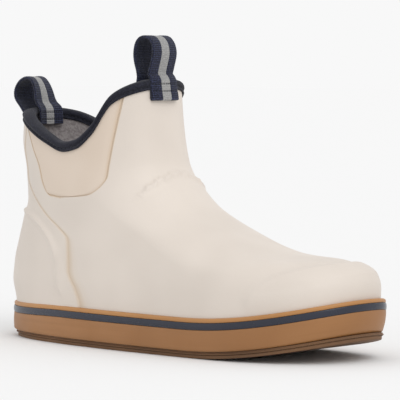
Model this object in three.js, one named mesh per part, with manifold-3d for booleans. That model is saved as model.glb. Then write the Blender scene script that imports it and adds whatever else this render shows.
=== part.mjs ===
// Ankle deck boot for the right foot, as its separate pieces.
//
// Millimetres. +X runs from heel to toe, +Y to the inner side of the foot, and +Z up.
// The sole stands on z = 0, and the group is centred on the boot's outline.
// Around the boot, angle 0 is the toe, a quarter turn the outer side, and a half turn the heel.
// Up the boot, v = 0 is the seat line, vFoxing the top of the foxing, and 1 the collar's edge.

import * as THREE from 'three';
import { mergeVertices } from 'three/addons/utils/BufferGeometryUtils.js';
import Module from 'manifold-3d';

const wasm = await Module();
wasm.setup();

// ---------- Driving dimensions ----------

const soleLength = 302;          // heel to toe, outside the foxing
const soleWidth = 104.4;         // across the ball, outside the foxing
const frontHeight = 178.5;       // ground to the collar at the shin
const backHeight = 158;          // ground to the collar at the heel
const dipHeight = 135.8;         // ground to the collar's lowest point, over the ankle
const toeSpring = 15;            // how far the sole lifts at the toe
const springStart = 40;          // from here forward the sole lifts

const outsoleThickness = 5;
const lugDepth = 2.5;
const lugPitch = 12;
const grooveWidth = 3;
const treadInset = 1.2;          // the tread stands in from the outsole's edge
const treadMargin = 4;           // plain border round the grooves, from the outsole's edge
const outsoleInset = 1.5;        // the outsole stands in from the foxing
const wallHeight = 11.7;         // foxing wall
const stripeHeight = 4.6;        // coloured stripe above it
const stripHeight = 4;           // thin strip above the stripe
const foxingThickness = 2.4;
const toeBumper = 2.3;           // extra foxing thickness at the toe
const toeTuck = 3;               // how far the wall draws in below at the toe
const midsoleThickness = 4.4;
const boardThickness = 2;
const footbedThickness = 5;
const coverThickness = 1;

const rubberThickness = 2.4;
const stiffenerThickness = 1;    // toe puff, counter and instep layer, let into the rubber
const goreRecess = 0.5;          // the stretch panels lie this far below the rubber
const neopreneThickness = 2.4;
const liningThickness = 0.9;

const bindingThickness = 1.2;
const bindingOutside = 7;        // how far the binding reaches down the outside
const bindingInside = 6;
const stitchDrop = 4;            // stitch line below the collar's edge
const stitchThickness = 0.6;
const seamSteps = 44;

const webbingWidth = 25;
const webbingThickness = 1.6;
const outerTabLength = 14;       // below the collar's edge
const innerTabLength = 11;
const hingeRadius = 9.2;         // the loops bend round this radius at the collar
const hingeClearance = 0.4;
// A loop rises above the collar's edge, is depth thick front to back, and its bulb is shifted out from the
// hinge. The bulb passes the given angles, and the knee is where the inner leg bends, from the inner tab.
const frontLoop = {
  rise: 29.5, depth: 21, shift: -3.1, y: -2, bulb: [-15, 35, 90, 145, 195], knee: [-3, 8.6],
};
const rearLoop = {
  rise: 22, depth: 19.6, shift: 10.4, y: 0, bulb: [-15, 35, 90, 130], knee: [2.9, 10.5],
};
const tabStitchRows = [5.2, 8.2]; // below the collar's edge, clear of the loops as they fold down
const tabStitchMargin = 2;
const webbingSteps = 44;

const clearance = 0.3;           // between pieces that touch
const weldDistance = 0.02;

// ---------- Heights that follow from them ----------

const wallBottom = outsoleThickness + clearance;
const stripeBottom = wallBottom + wallHeight + clearance;
const stripBottom = stripeBottom + stripeHeight + clearance;
const foxingTop = stripBottom + stripHeight;
const midsoleBottom = outsoleThickness + clearance;
const seatHeight = midsoleBottom + midsoleThickness + clearance;
const boardTop = seatHeight + boardThickness;
const footbedBottom = boardTop + clearance;
const footbedTop = footbedBottom + footbedThickness;
const upperThickness = rubberThickness + neopreneThickness + liningThickness + 2 * clearance;

// ---------- The last, drawn at one size and graded to the sizes above ----------

const sample = { heel: -149.4, toe: 145.5, half: 49.8, rise: 152.3, backRise: 131.8, dipRise: 109.6 };
const vFoxing = 0.1;
const upperLength = soleLength - 2 * foxingThickness - toeBumper;
const gradeX = upperLength / (sample.toe - sample.heel);
const gradeY = (soleWidth / 2 - foxingThickness) / sample.half;
const gradeZ = (frontHeight - foxingTop) / sample.rise;
const alongX = (x) => (x - sample.heel) * gradeX + foxingThickness - soleLength / 2;
const upZ = (rise) => foxingTop + rise * gradeZ;

const seatRise = (seatHeight - foxingTop) / gradeZ;

// v, toe x, toe rise, heel x, heel rise, widest x, half width, toe fullness, heel fullness,
// hollow of the inner waist, swing of the toe to the inner side
const sections = [
  [0.00, 144.5, seatRise, -147.6, seatRise, 62, 49.5, 2.35, 2.8, 11, 9],
  [vFoxing, 145.5, 0, -149.4, 0, 62, 49.8, 2.35, 2.8, 11, 9],
  [0.20, 142.5, 15.6, -152.6, 14, 52, 49, 2.3, 2.8, 9, 9],
  [0.28, 122, 28.4, -152, 27, 40, 47.5, 2.2, 2.7, 7, 9],
  [0.36, 84, 37.2, -148.5, 41, 20, 46, 2.1, 2.6, 4.5, 7],
  [0.46, 52.3, 48.6, -144, 56, -5, 44, 2.1, 2.5, 2.5, 4],
  [0.57, 11.9, 67.8, -139.4, 72, -38, 42, 2.15, 2.4, 1, 1.5],
  [0.70, -13.6, 97.8, -138.9, 90, -66, 40, 2.4, 2.4, 0, 0],
  [0.85, -18.6, 126.8, -142.4, 111, -78, 38.5, 2.6, 2.4, 0, 0],
  [1.00, -21.6, 152.3, -140.2, 131.8, -82, 38, 2.8, 2.4, 0, 0],
];

// Collar edge from the heel (0) to the shin (1), as a share of the way from the dip up to each end.
const collarLine = [
  [0, 1], [0.1, 0.86], [0.22, 0.58], [0.36, 0.25], [0.5, 0],
  [0.6, 0.045], [0.72, 0.276], [0.85, 0.766], [1, 1],
];

// A cubic through rising knots that never overshoots them, for a table of rows.
function cubicThrough(knots, rows) {
  const count = knots.length;
  const step = knots.slice(1).map((k, i) => k - knots[i]);
  const slope = (i, c) => (rows[i + 1][c] - rows[i][c]) / step[i];
  const tangent = (i, c) => {
    if (i === 0) return slope(0, c);
    if (i === count - 1) return slope(count - 2, c);
    const before = slope(i - 1, c);
    const after = slope(i, c);
    if (before * after <= 0) return 0;
    const w1 = 2 * step[i] + step[i - 1];
    const w2 = step[i] + 2 * step[i - 1];
    return (w1 + w2) / (w1 / before + w2 / after);
  };
  return (at) => {
    let i = 0;
    while (i < count - 2 && at > knots[i + 1]) i += 1;
    const t = (at - knots[i]) / step[i];
    return rows[i].map((from, c) => {
      const to = rows[i + 1][c];
      const lean = step[i] * (tangent(i, c) * t * (1 - t) ** 2 - tangent(i + 1, c) * t * t * (1 - t));
      return from + (to - from) * t * t * (3 - 2 * t) + lean;
    });
  };
}

const sectionAt = cubicThrough(sections.map((r) => r[0]), sections.map((r) => r.slice(1)));
const collarAt = cubicThrough(collarLine.map((r) => r[0]), collarLine.map((r) => [r[1]]));
const up = new THREE.Vector3(0, 0, 1);
const clamp01 = (t) => Math.min(1, Math.max(0, t));
const springAt = (x) => toeSpring * Math.max(0, (x - springStart) / (soleLength / 2 - springStart)) ** 2;

// The collar's height above the straight line between its two ends, t of the way to the shin.
function collarShape(t) {
  const end = t < 0.5 ? backHeight : frontHeight;
  const height = dipHeight + (end - dipHeight) * collarAt(t)[0];
  return height - (backHeight + (frontHeight - backHeight) * t);
}

// A point on the boot's outer surface.
function surface(v, angle) {
  const [toeX, toeRise, heelX, heelRise, wideX, half, toeFull, heelFull, hollow, swing] = sectionAt(v);
  const c = Math.cos(angle);
  const s = Math.sin(angle);
  const full = c >= 0 ? toeFull : heelFull;
  const reach = (c >= 0 ? toeX - wideX : wideX - heelX) * Math.abs(c) ** (2 / full);
  const across = Math.abs(s) ** (2 / full);
  const x = wideX + Math.sign(c) * reach;
  let y = (s >= 0 ? -1 : 1) * half * across;
  if (s < 0) y -= hollow * Math.exp(-(((x + 30) / 48) ** 2)) * Math.min(across * 1.5, 1);
  y += swing * clamp01((x - wideX) / (150 - wideX)) ** 1.5;
  const t = clamp01((x - heelX) / (toeX - heelX));
  const shaft = clamp01((v - 0.4) / 0.6);
  const backGrade = (backHeight - foxingTop) / gradeZ / sample.backRise;
  const backRise = heelRise * (1 + shaft * (backGrade - 1));
  const rise = backRise + (toeRise - backRise) * t;
  const dip = collarShape(t) * shaft * shaft * (1.5 - 0.5 * shaft);
  return new THREE.Vector3(alongX(x), y * gradeY, upZ(rise) + dip + springAt(alongX(x)));
}

// Outward normal, level at the seat line and the collar so that cut edges stay flat there.
function normal(v, angle) {
  const dv = 0.004;
  const da = 0.01;
  const up = surface(Math.min(1, v + dv), angle).sub(surface(Math.max(0, v - dv), angle));
  const round = surface(v, angle + da).sub(surface(v, angle - da));
  const n = up.cross(round).normalize();
  n.z *= clamp01(v / 0.1) * clamp01((1 - v) / 0.1);
  return n.normalize();
}

const layer = (v, angle, depth) => surface(v, angle).addScaledVector(normal(v, angle), -depth);

// v at a given drop below the collar's edge, closed in on in a few steps.
function belowCollar(angle, drop) {
  const top = surface(1, angle).z;
  let span = 0.05;
  for (let i = 0; i < 5; i += 1) span *= drop / (top - surface(1 - span, angle).z);
  return 1 - span;
}

// ---------- Mesh builders ----------

function meshFrom(points, triangles) {
  const geometry = new THREE.BufferGeometry();
  geometry.setAttribute('position', new THREE.Float32BufferAttribute(points.flatMap((p) => p.toArray()), 3));
  geometry.setIndex(triangles.flat());
  const closed = mergeVertices(geometry, 1e-4);
  closed.computeVertexNormals();
  return closed;
}

// A closed profile carried round the boot. Each profile goes up the outer face and down the inner one, and
// the faces are split along the same diagonals on both, so that layers over one another keep their distance.
// The face at turn is the first that comes down. With capped, the run is open and both its ends are closed.
function carried(profiles, capped = false, turn = profiles[0].length / 2) {
  const k = profiles[0].length;
  const n = profiles.length;
  const at = (j, i) => (j % n) * k + (i % k);
  const triangles = [];
  for (let j = 0; j < (capped ? n - 1 : n); j += 1) {
    for (let i = 0; i < k; i += 1) {
      const [a, b, c, d] = [at(j, i), at(j, i + 1), at(j + 1, i + 1), at(j + 1, i)];
      const comingDown = i >= turn;
      triangles.push(...(comingDown ? [[a, b, d], [b, c, d]] : [[a, b, c], [a, c, d]]));
    }
  }
  if (capped) {
    for (let i = 0; i < k / 2 - 1; i += 1) {
      const quad = [i, k - 1 - i, k - 2 - i, i + 1];
      const near = quad.map((q) => at(0, q));
      const far = quad.map((q) => at(n - 1, q));
      triangles.push([near[0], near[1], near[2]], [near[0], near[2], near[3]]);
      triangles.push([far[0], far[2], far[1]], [far[0], far[3], far[2]]);
    }
  }
  return meshFrom(profiles.flat(), triangles);
}

// A plate between two heights, for an outline that starts at the toe and has matching sides.
function plate(outline, bottom, top) {
  const n = outline.length;
  const low = outline.map((p) => new THREE.Vector3(p.x, p.y, bottom + springAt(p.x)));
  const high = outline.map((p) => new THREE.Vector3(p.x, p.y, top + springAt(p.x)));
  const triangles = [];
  for (let j = 0; j < n; j += 1) {
    const next = (j + 1) % n;
    triangles.push([j, n + j, n + next], [j, n + next, next]);
  }
  for (let j = 0; j < n / 2; j += 1) {
    const mate = (n - j) % n;
    const ring = [j, mate, n - j - 1, j + 1];
    for (const [a, b, c] of [[ring[0], ring[1], ring[2]], [ring[0], ring[2], ring[3]]]) {
      if (a !== b && b !== c && a !== c) triangles.push([n + a, n + b, n + c], [a, c, b]);
    }
  }
  return meshFrom([...low, ...high], triangles);
}

// A prism across the boot, from its side view.
function sidePrism(points, fromY, toY) {
  const shape = new THREE.Shape(points);
  const prism = new THREE.ExtrudeGeometry(shape, { depth: toY - fromY, bevelEnabled: false });
  return prism.rotateX(Math.PI / 2).translate(0, toY, 0);
}

function solid(geometry) {
  const bare = geometry.clone();
  bare.deleteAttribute('normal');
  bare.deleteAttribute('uv');
  const merged = mergeVertices(bare, 1e-4);
  const mesh = { numProp: 3, vertProperties: merged.attributes.position.array, triVerts: merged.index.array };
  return new wasm.Manifold(new wasm.Mesh(mesh));
}

// The cut body as a mesh, with corners that a cut left almost touching welded into one.
function geometryOf(body) {
  const mesh = body.getMesh();
  const geometry = new THREE.BufferGeometry();
  geometry.setAttribute('position', new THREE.BufferAttribute(mesh.vertProperties, 3));
  geometry.setIndex(new THREE.BufferAttribute(mesh.triVerts, 1));
  const welded = mergeVertices(geometry, weldDistance);
  const kept = [];
  for (let i = 0; i < welded.index.count; i += 3) {
    const [a, b, c] = [0, 1, 2].map((o) => welded.index.getX(i + o));
    if (a !== b && b !== c && a !== c) kept.push(a, b, c);
  }
  welded.setIndex(kept);
  welded.computeVertexNormals();
  return welded;
}

// A square section of thread round a point: out is away from the surface, up is across the thread.
function threadSection(point, out, up) {
  const side = stitchThickness / 2;
  return [[1, -1], [1, 1], [-1, 1], [-1, -1]].map(([o, u]) => (
    point.clone().addScaledVector(out, o * side).addScaledVector(up, u * side)
  ));
}

// ---------- Grid that all the upper's layers share ----------

const aroundSteps = 36;
const angles = Array.from({ length: aroundSteps }, (_, j) => (j * 2 * Math.PI) / aroundSteps);
const rowsV = [0, 0.05, vFoxing, 0.16, 0.21, 0.25, 0.29, 0.34, 0.42, 0.52, 0.62, 0.73, 0.86, 1];
const edgeDrop = bindingThickness + clearance;
const pocketMarginV = 0.006;
const pocketMarginAngle = 0.01;

// The top row lies a set height below the collar's edge, in line with the binding's fold over it.
function layerProfile(rows, angle, outer, inner) {
  const at = (v, depth) => {
    const point = layer(v, angle, depth);
    return v === 1 ? point.addScaledVector(up, -edgeDrop) : point;
  };
  return [...rows.map((v) => at(v, outer)), ...[...rows].reverse().map((v) => at(v, inner))];
}

const shell = (outer, inner) => carried(angles.map((a) => layerProfile(rowsV, a, outer, inner)));

// Part of a layer: grid rows lowRow..highRow, and the steps within spread of the middle angle.
// A pocket takes the same grid lines and one more just past each edge, so that the piece lies free in it.
function patch({ lowRow, highRow, middle, spread }, outer, inner, isPocket = false) {
  const rows = rowsV.slice(lowRow, highRow + 1);
  const run = Array.from({ length: 2 * spread + 1 }, (_, j) => middle + (j - spread) * angles[1]);
  if (isPocket) {
    rows.unshift(rows[0] - pocketMarginV);
    rows.push(rows[rows.length - 1] + pocketMarginV);
    run.unshift(run[0] - pocketMarginAngle);
    run.push(run[run.length - 1] + pocketMarginAngle);
  }
  return carried(run.map((a) => layerProfile(rows, a, outer, inner)), true);
}

// ---------- Upper ----------

const stiffeners = {
  toe_puff: { lowRow: 1, highRow: 6, middle: 0, spread: 6 },
  heel_counter: { lowRow: 1, highRow: 9, middle: Math.PI, spread: 5 },
  vamp_reinforcement: { lowRow: 8, highRow: 10, middle: 0, spread: 6 },
};
const stiffenerOuter = rubberThickness - stiffenerThickness;

// Side-view lines as [x, rise above the foxing] on the sample last.
const backSeamLine = [
  [-124, 160], [-125, 119], [-126, 97], [-124, 84], [-117, 74], [-100, 61], [-81, 52],
  [-72, 46], [-71, 38], [-68, 25], [-62, 11], [-57, 2], [-50, -24],
];
const goreLine = [
  [-120, 160], [-118, 124], [-110, 108], [-103, 94], [-97, 78], [-92, 73], [-81, 72],
  [-61, 76], [-46, 82], [-40, 89], [-39, 96], [-36, 116], [-34, 136], [-31, 160],
];
const sideLine = (points) => points.map(([x, rise]) => new THREE.Vector2(alongX(x), upZ(rise)));
const farOut = soleLength;

function shiftedLine(points, by) {
  return points.map((p, i) => {
    const before = points[Math.max(0, i - 1)];
    const after = points[Math.min(points.length - 1, i + 1)];
    const along = after.clone().sub(before).normalize();
    return new THREE.Vector2(p.x - along.y * by, p.y + along.x * by);
  });
}

function behindSeam(gap) {
  const line = shiftedLine(sideLine(backSeamLine), gap);
  const behind = (point) => new THREE.Vector2(-farOut, point.y);
  const corners = [behind(line[line.length - 1]), behind(line[0])];
  return solid(sidePrism([...line, ...corners], -farOut, farOut));
}

const goreCut = (gap, fromY, toY) => solid(sidePrism(shiftedLine(sideLine(goreLine), -gap), fromY, toY));

let rubber = solid(shell(0, rubberThickness));
for (const region of Object.values(stiffeners)) {
  const pocket = patch(region, stiffenerOuter - clearance, rubberThickness + clearance / 2, true);
  rubber = rubber.subtract(solid(pocket));
}
const goreLayer = solid(shell(goreRecess, rubberThickness));
const rubberVamp = rubber.subtract(behindSeam(clearance)).subtract(goreCut(clearance, -farOut, farOut));
const backQuarter = rubber.intersect(behindSeam(0));
const lateralGore = goreLayer.intersect(goreCut(0, -farOut, -1));
const medialGore = goreLayer.intersect(goreCut(0, 1, farOut));

const neopreneOuter = rubberThickness + clearance;
const liningOuter = neopreneOuter + neopreneThickness + clearance;

// ---------- Sole ----------

// Outer face of the foxing: out from the upper at the foxing's top, thicker round the toe.
function foxingPoint(angle, inset = 0) {
  const toe = Math.max(0, Math.cos(angle)) ** 2;
  const thickness = foxingThickness + toeBumper * toe;
  const level = normal(vFoxing, angle).setZ(0).normalize();
  return surface(vFoxing, angle).addScaledVector(level, thickness - inset);
}

// A band of the foxing between two heights. Its lower edge tucks in below the toe.
function foxingBand(bottom, top, tuckBelow = 0, inset = 0) {
  const share = (z) => clamp01((z - seatHeight) / (foxingTop - seatHeight)) * vFoxing;
  const inner = (angle, z) => layer(share(z), angle, -clearance);
  const heights = [bottom, seatHeight, top].filter((z) => z >= bottom && z <= top);
  return carried(angles.map((angle) => {
    const toe = Math.max(0, Math.cos(angle)) ** 2;
    const lift = (p, z) => p.setZ(z + springAt(p.x));
    const low = lift(foxingPoint(angle, inset + tuckBelow * toe), bottom);
    const high = lift(foxingPoint(angle, inset), top);
    const inside = heights.reverse().map((z) => lift(inner(angle, z), z));
    heights.reverse();
    return [low, high, ...inside];
  }));
}

const outlineOf = (inset) => angles.map((a) => foxingPoint(a, inset));
const seatOutline = (depth) => angles.map((a) => layer(0, a, depth));

// V-shaped grooves across the tread, opening towards the heel.
function treadGrooves() {
  const across = soleWidth;
  const sweep = across / 4;
  const grooves = [];
  for (let x = -soleLength / 2; x < soleLength / 2 + sweep; x += lugPitch) {
    const shape = new THREE.Shape([
      new THREE.Vector2(x, 0),
      new THREE.Vector2(x - sweep, across),
      new THREE.Vector2(x - sweep - grooveWidth, across),
      new THREE.Vector2(x - grooveWidth, 0),
      new THREE.Vector2(x - sweep - grooveWidth, -across),
      new THREE.Vector2(x - sweep, -across),
    ]);
    const depth = 2 * toeSpring + 4 * lugDepth;
    grooves.push(new THREE.ExtrudeGeometry(shape, { depth, bevelEnabled: false }).translate(0, 0, -lugDepth));
  }
  return grooves;
}

function outsoleBody() {
  const overlap = 0.5;
  const slab = solid(plate(outlineOf(outsoleInset), lugDepth, outsoleThickness));
  const field = solid(plate(outlineOf(outsoleInset + treadMargin), -overlap, lugDepth + 2 * overlap));
  let tread = solid(plate(outlineOf(outsoleInset + treadInset), 0, lugDepth + overlap));
  for (const groove of treadGrooves()) tread = tread.subtract(solid(groove).intersect(field));
  return slab.add(tread);
}

// ---------- Collar binding ----------

// The groove's floor has a line at each layer's face, so that it runs level with the layers' top edges.
const layerFaces = [
  upperThickness, liningOuter, neopreneOuter + neopreneThickness, neopreneOuter,
  rubberThickness, goreRecess, 0,
];
const bindingTurn = 7;

function bindingProfile(angle) {
  const low = belowCollar(angle, bindingOutside);
  const lowIn = belowCollar(angle, bindingInside);
  const outFace = -(clearance + bindingThickness);
  const inFace = upperThickness + clearance + bindingThickness;
  const edge = (depth, drop) => layer(1, angle, depth).add(new THREE.Vector3(0, 0, -drop));
  return [
    layer(low, angle, outFace), edge(outFace, bindingThickness), edge(0, 0), edge(upperThickness, 0),
    edge(inFace, bindingThickness), layer(lowIn, angle, inFace),
    layer(lowIn, angle, upperThickness + clearance), edge(upperThickness + clearance, bindingThickness),
    ...layerFaces.map((depth) => edge(depth, bindingThickness)),
    edge(-clearance, bindingThickness), layer(low, angle, -clearance),
  ];
}

// One run of the seam through the binding, from the front webbing to the rear. side is 1 for the outer side.
function bindingSeam(side) {
  const depth = -(clearance + bindingThickness + clearance + stitchThickness / 2);
  const at = (a) => layer(belowCollar(a, stitchDrop), a, depth);
  const clearOf = (loop) => (a) => Math.abs(at(a).y - loop.y) > webbingWidth / 2 + 1;
  const run = [];
  for (let i = 0; i <= seamSteps; i += 1) {
    const angle = (side * i * Math.PI) / seamSteps;
    const clear = clearOf(i < seamSteps / 2 ? frontLoop : rearLoop);
    if (clear(angle)) run.push(threadSection(at(angle), normal(1, angle), up));
  }
  return carried(side > 0 ? run : run.reverse(), true);
}

// ---------- Pull loops ----------

// Side view of a loop. Each point is [out from the collar's edge, up from it].
function loopPlan(loop, angle) {
  const edge = surface(1, angle);
  const outward = Math.cos(angle) > 0 ? 1 : -1;
  const half = webbingWidth / 2 + Math.abs(loop.y);
  let turn = 0;
  while (Math.abs(layer(1, angle + turn, upperThickness).y) < half) turn += 0.01;
  const sag = Math.abs(layer(1, angle + turn, upperThickness).x - layer(1, angle, upperThickness).x);
  const binding = clearance + bindingThickness + clearance;
  const outer = binding + webbingThickness / 2;
  const inner = -(upperThickness + binding + sag + webbingThickness / 2);
  const lean = (drop) => (surface(belowCollar(angle, drop), angle).x - edge.x) * outward;
  const middle = (outer + inner) / 2;
  return { edge, outward, outer, inner, lean, middle };
}

function loopCentreline(loop, plan) {
  const { outer, inner, lean, middle } = plan;
  const radiusOut = loop.depth / 2 - webbingThickness / 2;
  const crown = loop.rise - webbingThickness / 2;
  const bulbHeight = (crown + hingeRadius * 0.5) / 2;
  const radiusUp = crown - bulbHeight;
  const bulb = loop.bulb.map((degrees) => {
    const turn = THREE.MathUtils.degToRad(degrees);
    const x = middle + loop.shift + radiusOut * Math.cos(turn);
    return new THREE.Vector2(x, bulbHeight + radiusUp * Math.sin(turn));
  });
  const tab = [1, 0.5].map((share) => (
    new THREE.Vector2(outer + Math.max(0, lean(outerTabLength * share)), -outerTabLength * share)
  ));
  const rise = hingeRadius * 0.45;
  return [
    ...tab, new THREE.Vector2(outer, 0), new THREE.Vector2(outer, rise), ...bulb,
    new THREE.Vector2(inner + loop.knee[0], loop.knee[1]),
    new THREE.Vector2(inner, rise), new THREE.Vector2(inner, 0), new THREE.Vector2(inner, -innerTabLength),
  ];
}

// Splits the webbing's two face lines where they rise past the hinge radius and a floor above the collar, and
// where they come back: beyond is the moving loop, and the two tabs on either side stay with the collar.
function splitAtHinge(faces, centre, radius, floor) {
  const past = (point) => Math.min(point.distanceTo(centre) - radius, point.y - floor);
  const beyond = faces[0].map((_, i) => faces.every((line) => past(line[i]) > 0));
  const within = faces[0].map((_, i) => faces.some((line) => past(line[i]) > 0));
  const first = beyond.indexOf(true);
  const last = beyond.lastIndexOf(true);
  const before = within.indexOf(true) - 1;
  const after = within.lastIndexOf(true) + 1;
  const crossing = (line, from, to) => {
    const step = Math.sign(to - from);
    let i = from;
    while (past(line[i + step]) <= 0) i += step;
    return line[i].clone().lerp(line[i + step], past(line[i]) / (past(line[i]) - past(line[i + step])));
  };
  return faces.map((line) => {
    const out = crossing(line, before, first);
    const back = crossing(line, after, last);
    return {
      outer: [...line.slice(0, before + 1), out],
      loop: [out, ...line.slice(first, last + 1), back],
      inner: [back, ...line.slice(after)],
    };
  });
}

// A stretch between the outer and the inner face line, carried across the webbing's width.
function woven([outerLine, innerLine], loop, { edge, outward }) {
  const half = (outward * webbingWidth) / 2;
  const at = (p, y) => new THREE.Vector3(edge.x + outward * p.x, y, edge.z + p.y);
  return carried(outerLine.map((p, i) => [
    at(p, loop.y - half), at(p, loop.y + half),
    at(innerLine[i], loop.y + half), at(innerLine[i], loop.y - half),
  ]), true);
}

// The box of stitching that holds a tab, seen on its outer or inner face.
function tabSeam(loop, plan, out) {
  const [high, low] = tabStitchRows;
  const face = out > 0 ? plan.outer + Math.max(0, plan.lean(low)) : plan.inner;
  const x = face + out * (webbingThickness / 2 + clearance + stitchThickness / 2);
  const width = webbingWidth - 2 * tabStitchMargin;
  const frame = (margin) => new THREE.BoxGeometry(
    stitchThickness * (margin ? 2 : 1), width - 2 * margin, low - high - 2 * margin,
  ).translate(plan.edge.x + plan.outward * x, loop.y, plan.edge.z - (low + high) / 2);
  return geometryOf(solid(frame(0)).subtract(solid(frame(stitchThickness))));
}

function loopPieces(loop, angle, prefix) {
  const plan = loopPlan(loop, angle);
  const line = new THREE.SplineCurve(loopCentreline(loop, plan)).getSpacedPoints(webbingSteps);
  const faces = [-webbingThickness / 2, webbingThickness / 2].map((side) => shiftedLine(line, side));
  const centre = new THREE.Vector2(plan.middle, 0);
  const moving = splitAtHinge(faces, centre, hingeRadius, hingeClearance);
  const fixed = splitAtHinge(faces, centre, hingeRadius - hingeClearance, 0);
  return {
    [`${prefix}_pull_loop`]: woven(moving.map((face) => face.loop), loop, plan),
    [`${prefix}_loop_outer_tab`]: woven(fixed.map((face) => face.outer), loop, plan),
    [`${prefix}_loop_inner_tab`]: woven(fixed.map((face) => face.inner), loop, plan),
    [`${prefix}_outer_tab_stitching`]: tabSeam(loop, plan, 1),
    [`${prefix}_inner_tab_stitching`]: tabSeam(loop, plan, -1),
  };
}

// ---------- Materials and assembly ----------

const material = (color, roughness) => new THREE.MeshStandardMaterial({ color, roughness, metalness: 0 });
const materials = {
  rubber: material(0xe2d8ce, 0.55),
  stretch: material(0xdbcbbc, 0.7),
  gum: material(0x9e7756, 0.6),
  gumStrip: material(0xc29a69, 0.55),
  outsole: material(0x7d6046, 0.7),
  navyRubber: material(0x34384a, 0.4),
  binding: material(0x24242e, 0.85),
  webbing: material(0x272b3b, 0.9),
  thread: material(0x1c1e28, 0.8),
  foam: material(0x3a3d46, 0.9),
  lining: material(0x837d7d, 0.95),
  board: material(0xb9a98c, 0.9),
  stiffener: material(0xcfc4b4, 0.8),
};

const boot = new THREE.Group();
boot.name = 'deck_boot';

function add(name, geometry, look) {
  const mesh = new THREE.Mesh(geometry, materials[look]);
  mesh.name = name;
  boot.add(mesh);
}

add('outsole', geometryOf(outsoleBody()), 'outsole');
add('foxing_wall', foxingBand(wallBottom, wallBottom + wallHeight, toeTuck), 'gum');
add('foxing_stripe', foxingBand(stripeBottom, stripeBottom + stripeHeight), 'navyRubber');
add('foxing_top_strip', foxingBand(stripBottom, foxingTop, 0, clearance), 'gumStrip');
add('midsole', plate(seatOutline(clearance), midsoleBottom, midsoleBottom + midsoleThickness), 'foam');
const insideUpper = upperThickness + clearance;
add('insole_board', plate(seatOutline(insideUpper), seatHeight, boardTop), 'board');
add('footbed_foam', plate(seatOutline(insideUpper + clearance), footbedBottom, footbedTop), 'foam');
const coverBottom = footbedTop + clearance;
const coverTop = coverBottom + coverThickness;
add('footbed_cover', plate(seatOutline(insideUpper + clearance), coverBottom, coverTop), 'lining');

for (const [name, region] of Object.entries(stiffeners)) {
  add(name, patch(region, stiffenerOuter, rubberThickness), 'stiffener');
}
add('rubber_vamp', geometryOf(rubberVamp), 'rubber');
add('back_quarter', geometryOf(backQuarter), 'rubber');
add('lateral_gore', geometryOf(lateralGore), 'stretch');
add('medial_gore', geometryOf(medialGore), 'stretch');
add('neoprene_bootie', shell(neopreneOuter, neopreneOuter + neopreneThickness), 'foam');
add('lining', shell(liningOuter, liningOuter + liningThickness), 'lining');
add('collar_binding', carried(angles.map(bindingProfile), false, bindingTurn), 'binding');
add('binding_stitching_lateral', bindingSeam(1), 'thread');
add('binding_stitching_medial', bindingSeam(-1), 'thread');

const webbingLooks = (name) => (name.endsWith('stitching') ? 'thread' : 'webbing');
for (const pieces of [loopPieces(frontLoop, 0, 'front'), loopPieces(rearLoop, Math.PI, 'rear')]) {
  for (const [name, geometry] of Object.entries(pieces)) add(name, geometry, webbingLooks(name));
}

const bounds = new THREE.Box3().setFromObject(boot);
const middle = bounds.getCenter(new THREE.Vector3());
boot.position.set(-middle.x, -middle.y, -bounds.min.z);

export default boot;
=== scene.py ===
import math

import bpy
import numpy as np
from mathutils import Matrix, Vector

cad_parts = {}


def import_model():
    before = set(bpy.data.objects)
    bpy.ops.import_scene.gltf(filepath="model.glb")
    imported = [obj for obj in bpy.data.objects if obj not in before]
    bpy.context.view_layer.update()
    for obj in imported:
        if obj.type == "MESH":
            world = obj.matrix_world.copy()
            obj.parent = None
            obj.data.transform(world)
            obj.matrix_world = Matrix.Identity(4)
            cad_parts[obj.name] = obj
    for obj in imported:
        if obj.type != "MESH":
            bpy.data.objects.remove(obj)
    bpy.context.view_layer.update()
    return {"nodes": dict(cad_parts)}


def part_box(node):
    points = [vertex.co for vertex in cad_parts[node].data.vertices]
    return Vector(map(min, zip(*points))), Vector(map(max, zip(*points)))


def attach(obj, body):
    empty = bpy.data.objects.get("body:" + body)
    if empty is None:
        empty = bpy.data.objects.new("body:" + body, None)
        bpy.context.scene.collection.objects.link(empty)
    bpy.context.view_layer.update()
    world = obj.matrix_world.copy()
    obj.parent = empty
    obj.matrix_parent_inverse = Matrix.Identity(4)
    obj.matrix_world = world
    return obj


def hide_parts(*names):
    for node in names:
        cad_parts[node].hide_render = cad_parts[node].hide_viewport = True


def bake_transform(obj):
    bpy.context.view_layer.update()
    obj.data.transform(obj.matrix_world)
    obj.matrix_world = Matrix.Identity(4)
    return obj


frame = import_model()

MM = 0.001

# An ankle deck boot for the right foot. Lengths are in millimetres in the sole's own frame (+X to the toe,
# +Y to the inner side, z = 0 under the sole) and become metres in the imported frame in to_frame().
# Around the boot, angle 0 is the toe, a quarter turn the outer side, and a half turn the heel.
# Up the boot, v = 0 is the seat line, V_FOXING the top of the foxing, and 1 the collar's edge.

# ---------- Sizes shared with the CAD model ----------

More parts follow.
